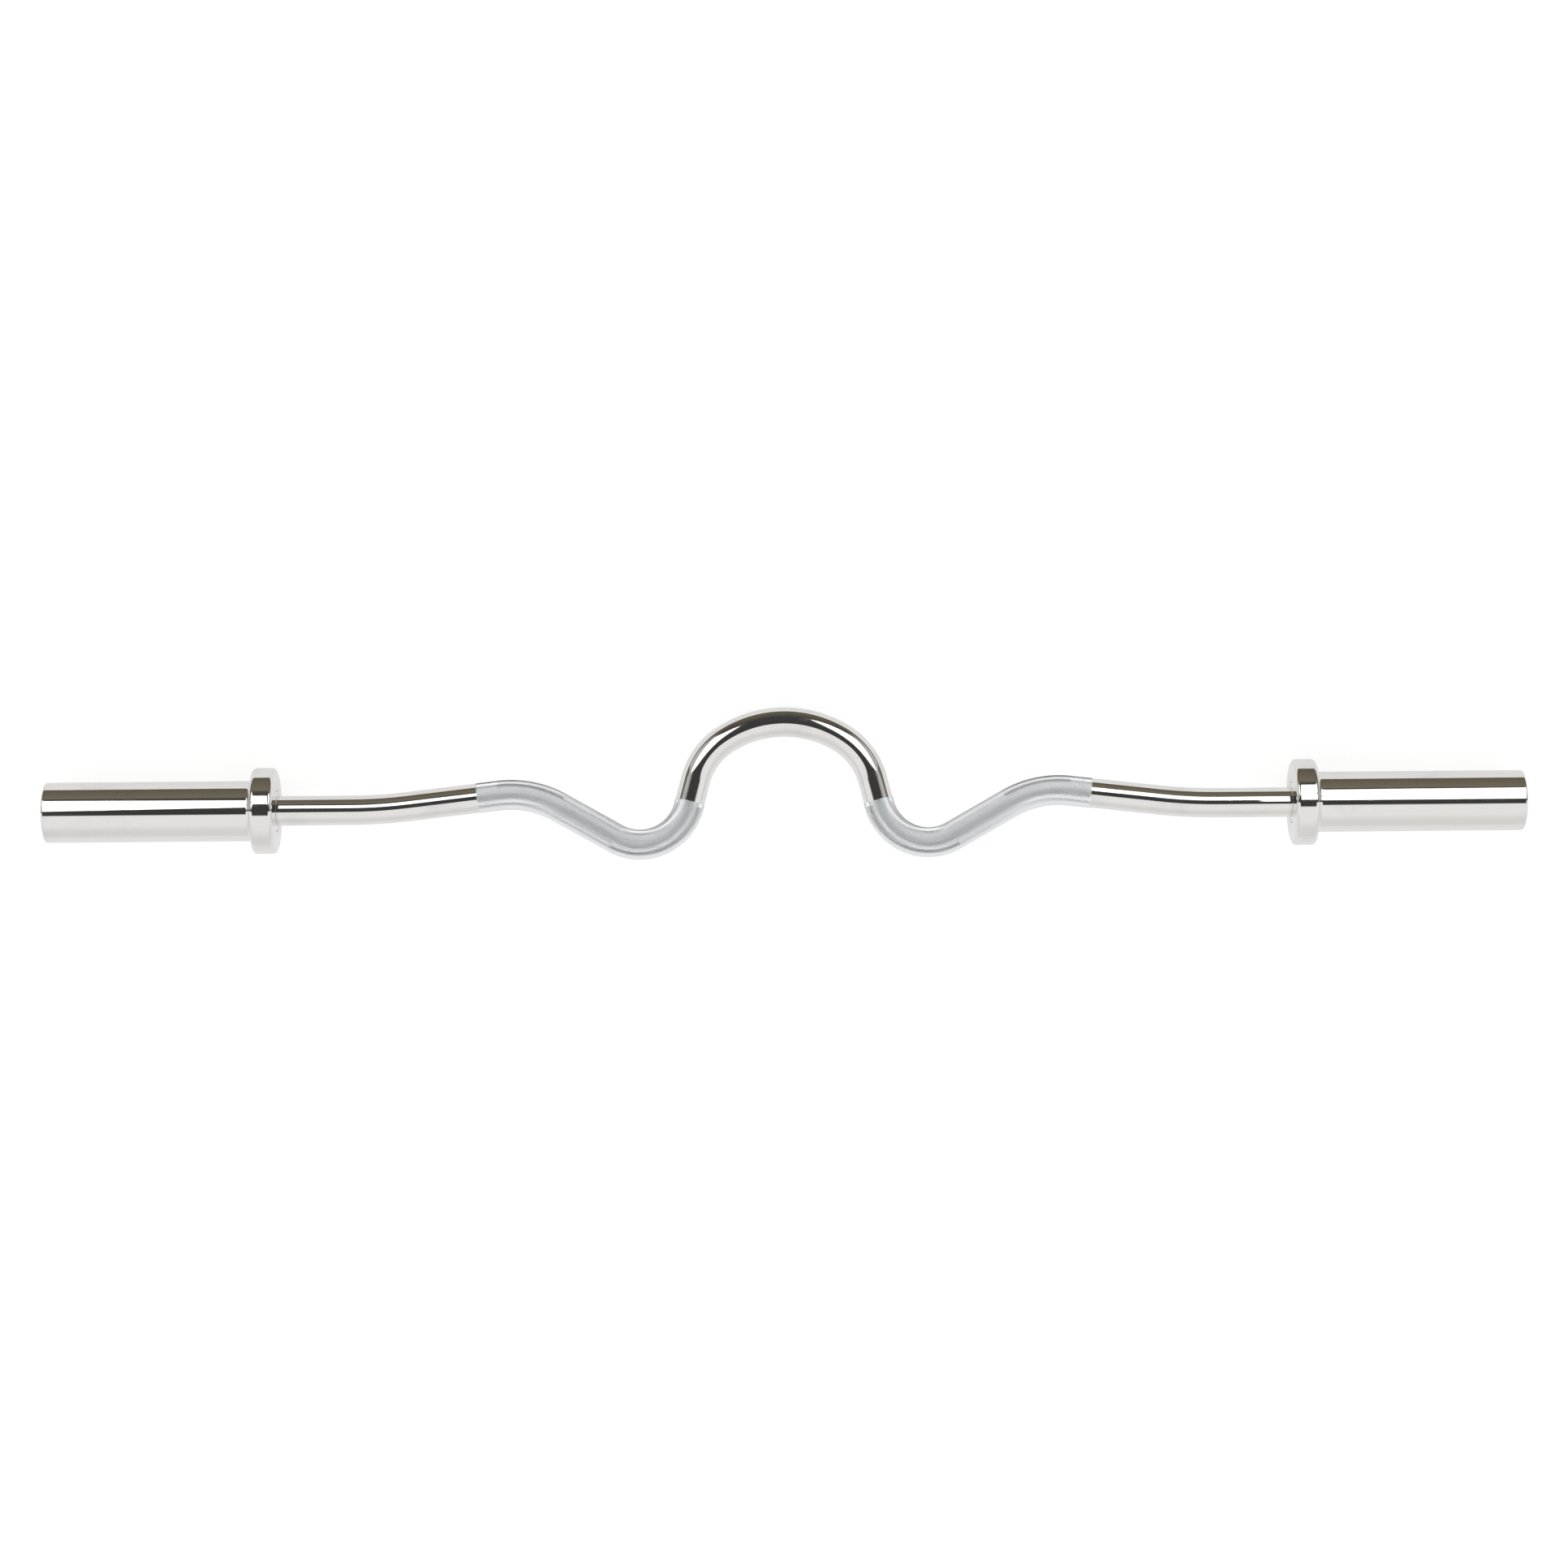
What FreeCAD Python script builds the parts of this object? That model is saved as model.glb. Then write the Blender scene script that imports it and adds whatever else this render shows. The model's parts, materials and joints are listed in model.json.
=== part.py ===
import FreeCAD, Part
import math
import os
import Sketcher

# A cambered curl bar: a steel bar bent in one plane, with a turning sleeve for plates at each end.
# X runs along the bar, the arch leans towards +Y, and Z is up from the floor that the bar lies on.

# Driving dimensions, in millimetres and degrees
SIZES = {
    # The whole bar
    "overall_length": 1200,
    "shaft_diameter": 24,
    "shaft_end_chamfer": 1.5,
    # The bends of the centre line: heights are from the sleeves' axis, angles from the bar's direction
    "arch_rise": 69,
    "crown_radius": 89,
    "crown_half_angle": 32,
    "shoulder_radius": 57,
    "flank_angle": 75.5,
    "trough_drop": 30,
    "trough_radius": 41,
    "ramp_angle": 29.5,
    "crest_rise": 11.5,
    "crest_radius": 80,
    "slope_angle": 6.5,
    "end_bend_radius": 400,
    # The bare straight bar between the last bend and the collar
    "plain_run": 61.7,
    # The knurled grips, measured past the trough's bend on the flank and past the crest's bend on the slope
    "knurl_height": 0.25,
    "knurl_on_flank": 4,
    "knurl_on_slope": 18,
    # Sleeve, whose length is what the collar leaves of the overall length
    "sleeve_diameter": 49,
    "sleeve_end_round": 1.5,
    "spigot_step": 0.5,
    "relief_depth": 1.5,
    # Collar, which stands above the sleeve by its height
    "collar_height": 10.5,
    "collar_width": 19,
    "collar_edge_radius": 3.5,
    "collar_root_radius": 3,
    "collar_flange": 5,
    # Stop ring and its bore
    "stop_ring_wall": 4.5,
    "stop_ring_width": 5,
    "stop_ring_chamfer": 0.4,
    "stop_ring_recess": 0.3,
    # Bushings, washers and their play
    "bushing_wall": 3.5,
    "bushing_length": 30,
    "bushing_chamfer": 0.5,
    "running_clearance": 0.05,
    "turning_gap": 0.3,
    "washer_thickness": 1.5,
    "outer_washer_lap": 1,
    "washer_clearance": 0.15,
    "end_play": 0.2,
    # Circlip and its groove
    "groove_depth": 0.55,
    "groove_margin": 3.5,
    "circlip_thickness": 1.2,
    "circlip_side_play": 0.1,
    "circlip_seat_play": 0.05,
    "circlip_width": 2.5,
    "circlip_offset": 0.5,
    "circlip_gap": 3,
    "lug_radius": 2.1,
    "lug_bite": 0.4,
    "lug_hole_diameter": 2,
    # End cap and the pocket behind it, which clears the outer washer
    "pocket_gap": 0.75,
    "cap_seat": 0.75,
    "cap_thickness": 5,
    "cap_wall": 2.5,
    "cap_chamfer": 0.8,
    "cap_inset": 0.5,
    "shaft_end_room": 1.5,
}

# How far a cutting sketch runs past the metal that it cuts
OVERCUT = 1.0

V = FreeCAD.Vector
doc = FreeCAD.newDocument("curl_bar")
sheet = doc.addObject("Spreadsheet::Sheet", "sizes")
for row, (alias, number) in enumerate(SIZES.items(), start=1):
    sheet.set(f"A{row}", alias.replace("_", " "))
    sheet.set(f"B{row}", str(number))
    sheet.setAlias(f"B{row}", alias)
doc.recompute()


class Size:
    """A dimension held twice: as the expression that gives it from the sheet, and as its number now."""

    def __init__(self, text, value):
        self.text = text
        self.value = value

    def __add__(self, other):
        other = as_size(other)
        return Size(f"({self.text} + {other.text})", self.value + other.value)

    def __sub__(self, other):
        other = as_size(other)
        return Size(f"({self.text} - {other.text})", self.value - other.value)

    def __mul__(self, other):
        other = as_size(other)
        return Size(f"({self.text} * {other.text})", self.value * other.value)

    def __truediv__(self, other):
        other = as_size(other)
        return Size(f"({self.text} / {other.text})", self.value / other.value)

    def __neg__(self):
        return Size(f"(-{self.text})", -self.value)

    def degrees(self):
        """The same number as an angle, for an angle constraint, which counts in radians."""
        return Size(f"({self.text} * 1 deg)", math.radians(self.value))

    def sin(self):
        return Size(f"sin({self.degrees().text})", math.sin(self.degrees().value))

    def cos(self):
        return Size(f"cos({self.degrees().text})", math.cos(self.degrees().value))

    def tan(self):
        return Size(f"tan({self.degrees().text})", math.tan(self.degrees().value))


def as_size(number):
    return number if isinstance(number, Size) else Size(str(number), number)


def size(alias):
    """A driving dimension, read back from the sheet."""
    return Size(f"sizes.{alias}", float(sheet.get(alias)))


# Radii, each a wall, a step or a clearance from the one that it fits
shaft_r = size("shaft_diameter") / 2
knurl_r = shaft_r + size("knurl_height")
groove_r = shaft_r - size("groove_depth")
bushing_bore_r = shaft_r + size("running_clearance")
washer_bore_r = shaft_r + size("washer_clearance")
bushing_r = shaft_r + size("bushing_wall")
relief_r = bushing_r + size("relief_depth")
stop_ring_r = shaft_r + size("stop_ring_wall")
stop_bore_r = stop_ring_r + size("turning_gap")
outer_washer_r = bushing_r + size("outer_washer_lap")
pocket_r = outer_washer_r + size("pocket_gap")
cap_r = pocket_r + size("cap_seat")
sleeve_r = size("sleeve_diameter") / 2
spigot_r = sleeve_r - size("spigot_step")
collar_r = sleeve_r + size("collar_height")

# Stations along the bar from its middle, counted inward from the sleeve's end
sleeve_end = size("overall_length") / 2
cap_out = sleeve_end - size("cap_inset")
cap_in = cap_out - size("cap_thickness")
shaft_end = cap_in - size("shaft_end_room")
groove_out = shaft_end - size("groove_margin")
circlip_in = groove_out - size("circlip_thickness")
groove_in = circlip_in - size("circlip_side_play")
backing_in = circlip_in - size("washer_thickness")
outer_washer_in = backing_in - size("washer_thickness")
outer_bushing_out = outer_washer_in - size("end_play")
outer_bushing_in = outer_bushing_out - size("bushing_length")


def s_bend(height, angle, radii):
    """The reach along the bar of a step of this height: an arc, a straight at the angle and an arc back."""
    return height / angle.tan() + radii * (angle / 2).tan()


# The reach of all the bends, step by step from the crown's middle; the crown is wider than its shoulder
crown_excess = size("crown_radius") - size("shoulder_radius")
crown_lift = crown_excess * (as_size(1) - size("crown_half_angle").cos())
arch_height = size("arch_rise") + size("trough_drop") - crown_lift
grip_height = size("trough_drop") + size("crest_rise")
bend_reach = (
    crown_excess * size("crown_half_angle").sin()
    + s_bend(arch_height, size("flank_angle"), size("shoulder_radius") + size("trough_radius"))
    + s_bend(grip_height, size("ramp_angle"), size("trough_radius") + size("crest_radius"))
    + s_bend(size("crest_rise"), size("slope_angle"), size("crest_radius") + size("end_bend_radius"))
)

# Stations counted outward from the bends, by way of the collar's inner face
collar_in = bend_reach + size("plain_run")
collar_out = collar_in + size("collar_width")
root_out = collar_out + size("collar_root_radius")
spigot_in = collar_in + size("collar_flange")
stop_ring_in = collar_in + size("stop_ring_recess")
stop_ring_out = stop_ring_in + size("stop_ring_width")
inner_washer_out = stop_ring_out + size("washer_thickness")
inner_bushing_in = inner_washer_out + size("end_play")
inner_bushing_out = inner_bushing_in + size("bushing_length")

# The bar lies on its collars and on the crown of its arch, which leans down to the floor
REST_LEAN = f"asin({((collar_r - shaft_r) / size('arch_rise')).text})"
AXIS_Y = f"-({(size('arch_rise') - size('trough_drop')).text}) / 2 * cos({REST_LEAN})"
AXIS_Z = collar_r.text

SIDES = {"left": 180, "right": 0}


def new_body(label, turn_axis, turn_degrees=0):
    """A body whose own X axis lies on the sleeves' axis."""
    body = doc.addObject("PartDesign::Body", label)
    body.Label = label
    body.Placement = FreeCAD.Placement(V(0, 0, 0), FreeCAD.Rotation(turn_axis, turn_degrees))
    body.setExpression("Placement.Base.y", AXIS_Y)
    body.setExpression("Placement.Base.z", AXIS_Z)
    return body


def origin_plane(body, role):
    return next(f for f in body.Origin.OriginFeatures if f.Role == role)


def new_sketch(body, name, plane):
    sketch = body.newObject("Sketcher::SketchObject", name)
    sketch.AttachmentSupport = [(origin_plane(body, plane), "")]
    sketch.MapMode = "FlatFace"
    return sketch


def constrain(sketch, kind, *where):
    return sketch.addConstraint(Sketcher.Constraint(kind, *where))


def bind(sketch, kind, *where):
    """Adds a constraint whose last value is a Size, and ties it to the sheet."""
    *places, dimension = where
    index = constrain(sketch, kind, *places, dimension.value)
    sketch.setExpression(f"Constraints[{index}]", dimension.text)


def pin_point(sketch, geometry, end, x, y):
    """Fixes one end of a line, or a centre, at a distance from the sketch's origin."""
    bind(sketch, "DistanceX", -1, 1, geometry, end, x)
    if y is None:
        constrain(sketch, "PointOnObject", geometry, end, -1)
    else:
        bind(sketch, "DistanceY", -1, 1, geometry, end, y)


def round_between(start, end, radius):
    """An arc from start to end: a positive radius turns left, as a bulge does, and a negative one right."""
    middle = (start + end) * 0.5
    chord = end - start
    reach = math.sqrt(max(radius**2 - (chord.Length / 2) ** 2, 0))
    side = V(-chord.y, chord.x, 0).normalize() * math.copysign(reach, radius)
    centre = middle + side
    first, last = (start, end) if radius > 0 else (end, start)
    angles = [math.atan2(p.y - centre.y, p.x - centre.x) for p in (first, last)]
    return Part.ArcOfCircle(Part.Circle(centre, V(0, 0, 1), abs(radius)), *angles)


def outline(sketch, corners):
    """Closed outline through (x, y) corners, run anticlockwise.

    A third value is the radius of the arc that leaves that corner: positive bulges, negative is hollow.
    A height of None lies on the sketch's own X axis.
    """
    points = [V(c[0].value, c[1].value if c[1] else 0, 0) for c in corners]
    starts, ends, edges = [], [], []
    for i, corner in enumerate(corners):
        start, end = points[i], points[(i + 1) % len(points)]
        if len(corner) == 3:
            edges.append(sketch.addGeometry(round_between(start, end, corner[2].value), False))
        else:
            edges.append(sketch.addGeometry(Part.LineSegment(start, end), False))
        runs_back = len(corner) == 3 and corner[2].value < 0
        starts.append(2 if runs_back else 1)
        ends.append(1 if runs_back else 2)
    for i, corner in enumerate(corners):
        constrain(sketch, "Coincident", edges[i - 1], ends[i - 1], edges[i], starts[i])
        pin_point(sketch, edges[i], starts[i], corner[0], corner[1])
        if len(corner) == 3:
            radius = corner[2] if corner[2].value > 0 else -corner[2]
            bind(sketch, "Radius", edges[i], radius)


def circle(sketch, x, y, radius):
    """A circle whose centre is on the sketch's Y axis where x is None, and at the origin where both are."""
    centre = V(x.value if x else 0, y.value if y else 0, 0)
    ring = sketch.addGeometry(Part.Circle(centre, V(0, 0, 1), radius.value), False)
    if x is None and y is None:
        constrain(sketch, "Coincident", ring, 3, -1, 1)
    elif x is None:
        constrain(sketch, "PointOnObject", ring, 3, -2)
        bind(sketch, "DistanceY", -1, 1, ring, 3, y)
    else:
        pin_point(sketch, ring, 3, x, y)
    bind(sketch, "Radius", ring, radius)


def turned(side, name, corners):
    """A piece turned about the sleeve's axis, from the corners of half its section."""
    body = new_body(f"{side}_{name}", V(0, 0, 1), SIDES[side])
    sketch = new_sketch(body, f"{side}_{name}_section", "XY_Plane")
    outline(sketch, corners)
    turn = body.newObject("PartDesign::Revolution", f"{side}_{name}_turned")
    turn.Profile = sketch
    turn.ReferenceAxis = (sketch, ["H_Axis"])
    turn.Angle = 360
    return body


class BendLine:
    """Draws a bent bar's centre line in a sketch, each straight or bend running on smoothly from the last."""

    def __init__(self, sketch, start, heading):
        self.sketch = sketch
        self.at = start
        self.heading = heading
        self.last = None

    def join(self, geometry, first_end, last_end):
        if self.last:
            constrain(self.sketch, "Tangent", *self.last, geometry, first_end)
        self.last = (geometry, last_end)
        return geometry

    def straight(self, length):
        end = self.at + V(math.cos(self.heading), math.sin(self.heading), 0) * length
        line = self.sketch.addGeometry(Part.LineSegment(self.at, end), False)
        self.at = end
        return self.join(line, 1, 2)

    def straight_to_height(self, height):
        return self.straight((height - self.at.y) / math.sin(self.heading))

    def bend(self, radius, heading):
        """An arc from the heading so far to a new one, both in radians."""
        left = heading > self.heading
        out = 1 if left else -1
        normal = V(-math.sin(self.heading), math.cos(self.heading), 0) * out
        centre = self.at + normal * radius.value
        entry = self.heading - out * math.pi / 2
        leave = heading - out * math.pi / 2
        angles = (entry, leave) if left else (leave, entry)
        arc = Part.ArcOfCircle(Part.Circle(centre, V(0, 0, 1), radius.value), *angles)
        arc = self.sketch.addGeometry(arc, False)
        self.at = centre + V(math.cos(leave), math.sin(leave), 0) * radius.value
        self.heading = heading
        bind(self.sketch, "Radius", arc, radius)
        return self.join(arc, *((1, 2) if left else (2, 1)))


def draw_bends(sketch):
    """Half the bar's centre line, from the middle of the crown out to the shaft's end."""
    rise, drop, crest = size("arch_rise"), size("trough_drop"), size("crest_rise")
    trough_radius, crest_radius = size("trough_radius"), size("crest_radius")
    end_radius = size("end_bend_radius")
    crown_turn = size("crown_half_angle").degrees()
    flank, ramp = size("flank_angle").degrees(), size("ramp_angle").degrees()
    slope = size("slope_angle").degrees()

    line = BendLine(sketch, V(0, rise.value, 0), 0.0)
    crown = line.bend(size("crown_radius"), -crown_turn.value)
    line.bend(size("shoulder_radius"), -flank.value)
    trough_start = trough_radius.value * (1 - math.cos(flank.value)) - drop.value
    knurl_top = trough_start + size("knurl_on_flank").value * math.sin(flank.value)
    bare_flank = line.straight_to_height(knurl_top)
    flank_grip = line.straight_to_height(trough_start)
    trough = line.bend(trough_radius, ramp.value)
    crest_start = crest.value - crest_radius.value * (1 - math.cos(ramp.value))
    ramp_line = line.straight_to_height(crest_start)
    crest_arc = line.bend(crest_radius, -slope.value)
    slope_grip = line.straight(size("knurl_on_slope").value)
    bare_slope = line.straight_to_height(end_radius.value * (1 - math.cos(slope.value)))
    line.bend(end_radius, 0.0)
    journal = line.straight(shaft_end.value - line.at.x)

    constrain(sketch, "PointOnObject", crown, 2, -2)
    constrain(sketch, "PointOnObject", crown, 3, -2)
    bind(sketch, "DistanceY", -1, 1, crown, 2, rise)
    bind(sketch, "Angle", crown, crown_turn)
    bind(sketch, "Angle", bare_flank, -flank)
    bind(sketch, "Distance", flank_grip, size("knurl_on_flank"))
    bind(sketch, "DistanceY", -1, 1, trough, 3, trough_radius - drop)
    bind(sketch, "Angle", ramp_line, ramp)
    bind(sketch, "DistanceY", crest_arc, 3, -1, 1, crest_radius - crest)
    bind(sketch, "Angle", bare_slope, -slope)
    bind(sketch, "Distance", slope_grip, size("knurl_on_slope"))
    constrain(sketch, "Horizontal", journal)
    pin_point(sketch, journal, 2, shaft_end, None)
    return range(flank_grip, slope_grip + 1)


def edge_names(sketch, geometries):
    """The names of a drawn sketch's edges that lie on these pieces of its geometry."""
    names = []
    for index in geometries:
        curve = sketch.Geometry[index]
        middle = Part.Vertex(curve.value((curve.FirstParameter + curve.LastParameter) / 2))
        gaps = [edge.distToShape(middle)[0] for edge in sketch.Shape.Edges]
        names.append(f"Edge{gaps.index(min(gaps)) + 1}")
    return names


def swept(body, name, profile, path, edges):
    pipe = body.newObject("PartDesign::AdditivePipe", name)
    pipe.Profile = profile
    pipe.Spine = (path, edges)
    return pipe


def shaft():
    """The bent bar, its raised grips and the grooves that hold the circlips."""
    body = new_body("shaft", V(1, 0, 0))
    body.setExpression("Placement.Rotation.Angle", f"-{REST_LEAN}")
    path = new_sketch(body, "centre_line", "XY_Plane")
    grips = draw_bends(path)
    doc.recompute()
    grip_edges = edge_names(path, grips)
    all_edges = edge_names(path, range(path.GeometryCount))

    section = new_sketch(body, "bar_section", "YZ_Plane")
    circle(section, size("arch_rise"), None, shaft_r)
    bar = swept(body, "bent_bar", section, path, all_edges)

    grip_section = body.newObject("Sketcher::SketchObject", "grip_section")
    grip_section.AttachmentSupport = [(path, grip_edges[0])]
    grip_section.MapMode = "NormalToEdge"
    grip_section.MapPathParameter = 0
    circle(grip_section, None, None, knurl_r)
    doc.recompute()
    grip = swept(body, "knurled_grip", grip_section, path, grip_edges)

    cut_section = new_sketch(body, "groove_section", "XY_Plane")
    outline(
        cut_section,
        [
            (groove_in, groove_r),
            (groove_out, groove_r),
            (groove_out, shaft_r + OVERCUT),
            (groove_in, shaft_r + OVERCUT),
        ],
    )
    chamfer_in = shaft_end - size("shaft_end_chamfer") - OVERCUT
    outline(
        cut_section,
        [
            (shaft_end + OVERCUT, shaft_r - size("shaft_end_chamfer") - OVERCUT),
            (shaft_end + OVERCUT, shaft_r + OVERCUT),
            (chamfer_in, shaft_r + OVERCUT),
        ],
    )
    doc.recompute()
    whole = body.Shape.Volume
    cut = body.newObject("PartDesign::Groove", "end_cuts")
    cut.Profile = cut_section
    cut.ReferenceAxis = (cut_section, ["H_Axis"])
    cut.Angle = 360
    doc.recompute()
    if body.Shape.Volume >= whole:
        raise RuntimeError("the circlip groove cuts nothing from the shaft")

    mirror = body.newObject("PartDesign::Mirrored", "other_half")
    mirror.Originals = [bar, grip, cut]
    mirror.MirrorPlane = (origin_plane(body, "YZ_Plane"), [""])
    body.Tip = mirror
    return body


def sleeve(side):
    """The tube that the plates slide on: spigot for the collar, two bushing seats and a mouth for the cap."""
    end_round = size("sleeve_end_round")
    return turned(
        side,
        "sleeve",
        [
            (spigot_in, stop_bore_r),
            (inner_bushing_in, stop_bore_r),
            (inner_bushing_in, bushing_r),
            (inner_bushing_out, bushing_r),
            (inner_bushing_out, relief_r),
            (outer_bushing_in, relief_r),
            (outer_bushing_in, bushing_r),
            (outer_bushing_out, bushing_r),
            (outer_bushing_out, pocket_r),
            (cap_in, pocket_r),
            (cap_in, cap_r),
            (sleeve_end, cap_r),
            (sleeve_end, sleeve_r - end_round, end_round),
            (sleeve_end - end_round, sleeve_r),
            (root_out, sleeve_r),
            (root_out, spigot_r),
            (spigot_in, spigot_r),
        ],
    )


def collar(side):
    """The ring that stops the plates, with a socket for the sleeve and a hollow root against its wall."""
    edge = size("collar_edge_radius")
    root = size("collar_root_radius")
    return turned(
        side,
        "collar",
        [
            (collar_in, stop_bore_r),
            (spigot_in, stop_bore_r),
            (spigot_in, spigot_r),
            (root_out, spigot_r),
            (root_out, sleeve_r, -root),
            (collar_out, sleeve_r + root),
            (collar_out, collar_r - edge, edge),
            (collar_out - edge, collar_r),
            (collar_in + edge, collar_r, edge),
            (collar_in, collar_r - edge),
        ],
    )


def stop_ring(side):
    """The ring pressed on the shaft that the sleeve bears against, just inside the collar's inner face."""
    chamfer = size("stop_ring_chamfer")
    return turned(
        side,
        "stop_ring",
        [
            (stop_ring_in, shaft_r),
            (stop_ring_out, shaft_r),
            (stop_ring_out, stop_ring_r),
            (stop_ring_in + chamfer, stop_ring_r),
            (stop_ring_in, stop_ring_r - chamfer),
        ],
    )


def bushing(side, name, inner_end, outer_end):
    """A bronze bushing pressed in the sleeve, with its bore's edges broken."""
    chamfer = size("bushing_chamfer")
    return turned(
        side,
        name,
        [
            (inner_end, bushing_bore_r + chamfer),
            (inner_end + chamfer, bushing_bore_r),
            (outer_end - chamfer, bushing_bore_r),
            (outer_end, bushing_bore_r + chamfer),
            (outer_end, bushing_r),
            (inner_end, bushing_r),
        ],
    )


def washer(side, name, inner_face, rim_r):
    outer_face = inner_face + size("washer_thickness")
    return turned(
        side,
        name,
        [
            (inner_face, washer_bore_r),
            (outer_face, washer_bore_r),
            (outer_face, rim_r),
            (inner_face, rim_r),
        ],
    )


def end_cap(side):
    """The shallow cup pressed in the sleeve's mouth, open towards the shaft."""
    wall = size("cap_wall")
    chamfer = size("cap_chamfer")
    return turned(
        side,
        "end_cap",
        [
            (cap_out - wall, None),
            (cap_out, None),
            (cap_out, cap_r - chamfer),
            (cap_out - chamfer, cap_r),
            (cap_in, cap_r),
            (cap_in, cap_r - wall),
            (cap_out - wall, cap_r - wall),
        ],
    )


def clip_sketch(body, name):
    """A sketch across the bar at the circlip's inner face."""
    sketch = new_sketch(body, name, "YZ_Plane")
    sketch.setExpression("AttachmentOffset.Base.z", circlip_in.text)
    return sketch


def circlip(side):
    """The retaining ring in the shaft's groove: widest at the back, with two drilled lugs at its gap."""
    inside_r = groove_r + size("circlip_seat_play")
    lug_r = size("lug_radius")
    half_gap = size("circlip_gap") / 2
    lug_x = half_gap + lug_r - size("lug_bite")
    lug_y = inside_r + lug_r
    body = new_body(f"{side}_circlip", V(0, 0, 1), SIDES[side])

    ring_sketch = clip_sketch(body, f"{side}_circlip_ring")
    circle(ring_sketch, None, None, inside_r)
    circle(ring_sketch, None, -size("circlip_offset"), inside_r + size("circlip_width"))
    ring = body.newObject("PartDesign::Pad", f"{side}_circlip_band")
    ring.Profile = ring_sketch
    ring.setExpression("Length", size("circlip_thickness").text)

    lug_sketch = clip_sketch(body, f"{side}_circlip_lugs")
    for sign in (1, -1):
        circle(lug_sketch, lug_x * sign, lug_y, lug_r)
    lugs = body.newObject("PartDesign::Pad", f"{side}_circlip_ears")
    lugs.Profile = lug_sketch
    lugs.setExpression("Length", size("circlip_thickness").text)
    doc.recompute()
    whole = body.Shape.Volume

    cut_sketch = clip_sketch(body, f"{side}_circlip_cuts")
    for sign in (1, -1):
        circle(cut_sketch, lug_x * sign, lug_y, size("lug_hole_diameter") / 2)
    gap_low = inside_r - size("circlip_width")
    gap_high = lug_y + lug_r + OVERCUT
    gap_left = -half_gap
    outline(
        cut_sketch,
        [(gap_left, gap_low), (half_gap, gap_low), (half_gap, gap_high), (gap_left, gap_high)],
    )
    cut = body.newObject("PartDesign::Pocket", f"{side}_circlip_gap")
    cut.Profile = cut_sketch
    cut.Type = "ThroughAll"
    cut.Midplane = True
    doc.recompute()
    if body.Shape.Volume >= whole:
        raise RuntimeError("the circlip's gap cuts nothing")
    return body


pieces = [shaft()]
for side in SIDES:
    pieces += [
        sleeve(side),
        collar(side),
        stop_ring(side),
        washer(side, "inner_washer", stop_ring_out, stop_ring_r),
        bushing(side, "inner_bushing", inner_bushing_in, inner_bushing_out),
        bushing(side, "outer_bushing", outer_bushing_in, outer_bushing_out),
        washer(side, "outer_washer", outer_washer_in, outer_washer_r),
        washer(side, "backing_washer", backing_in, outer_washer_r),
        circlip(side),
        end_cap(side),
    ]
doc.recompute()

for made in doc.Objects:
    if {"Invalid", "Error"} & set(made.State):
        raise RuntimeError(f"{made.Label} failed to build: {made.State}")
for piece in pieces:
    if piece.Shape.isNull() or not piece.Shape.isValid() or len(piece.Shape.Solids) != 1:
        raise RuntimeError(f"{piece.Label} is not one valid solid")

os.makedirs("parts", exist_ok=True)
for piece in pieces:
    piece.Shape.exportStep(f"parts/{piece.Label}.step")
    print(f"{piece.Label}: {piece.Shape.Volume:.0f} cubic mm")
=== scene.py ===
import json
import math

import bmesh
import bpy
from bpy.props import FloatProperty, FloatVectorProperty, IntProperty, PointerProperty
from mathutils import Matrix, Vector


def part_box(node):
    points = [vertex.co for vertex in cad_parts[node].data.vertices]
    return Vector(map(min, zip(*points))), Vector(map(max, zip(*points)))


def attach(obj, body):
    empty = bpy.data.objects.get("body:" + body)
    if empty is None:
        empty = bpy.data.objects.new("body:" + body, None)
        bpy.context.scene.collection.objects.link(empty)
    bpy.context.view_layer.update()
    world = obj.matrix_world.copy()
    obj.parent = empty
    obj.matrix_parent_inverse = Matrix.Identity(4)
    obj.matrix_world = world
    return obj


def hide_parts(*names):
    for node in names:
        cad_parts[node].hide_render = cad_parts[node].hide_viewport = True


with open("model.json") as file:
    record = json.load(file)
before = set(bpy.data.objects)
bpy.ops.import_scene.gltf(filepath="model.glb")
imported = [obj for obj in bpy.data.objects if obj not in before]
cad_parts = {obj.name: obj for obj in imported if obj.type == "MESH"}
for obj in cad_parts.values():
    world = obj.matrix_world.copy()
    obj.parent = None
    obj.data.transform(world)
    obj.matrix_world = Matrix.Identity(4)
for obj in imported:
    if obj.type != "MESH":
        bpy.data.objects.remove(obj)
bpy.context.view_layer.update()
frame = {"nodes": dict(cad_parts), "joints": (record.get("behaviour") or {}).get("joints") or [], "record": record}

# The looks of a chromed curl bar: a bent bar with two knurled grips, and a turning sleeve at each end.
# Lengths are metres in the part's own frame: X along the bar, the arch towards +Y, Z up from the floor.

bl_info = {
    "name": "Curl bar",
    "version": (1, 0, 0),
    "blender": (4, 5, 0),
    "location": "3D View > Sidebar > Curl bar",
    "description": "Builds the pieces, finishes and studio of a chromed curl bar round its packed frame",
    "category": "Add Mesh",
}

SIDES = {"left": -1, "right": 1}
ALONG = Vector((1.0, 0.0, 0.0))
AXIS = Vector((0.0, *frame["joints"][0]["pos_m"][1:]))

# Facets round a piece, the turn between rings in a bend, and the steps of a rounded edge
SEGMENTS = 144
TURNS = [2 * math.pi * i / SEGMENTS for i in range(SEGMENTS)]
RING_TURN = math.radians(1.5)
ARC_STEPS = 8

# Width of a narrow flat beside each rounded edge, which keeps the round's shading off the large faces
EDGE_HOLD = 0.0002

# Edges that turn by more than this stay sharp
SHARP_ANGLE = math.radians(28)

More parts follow.
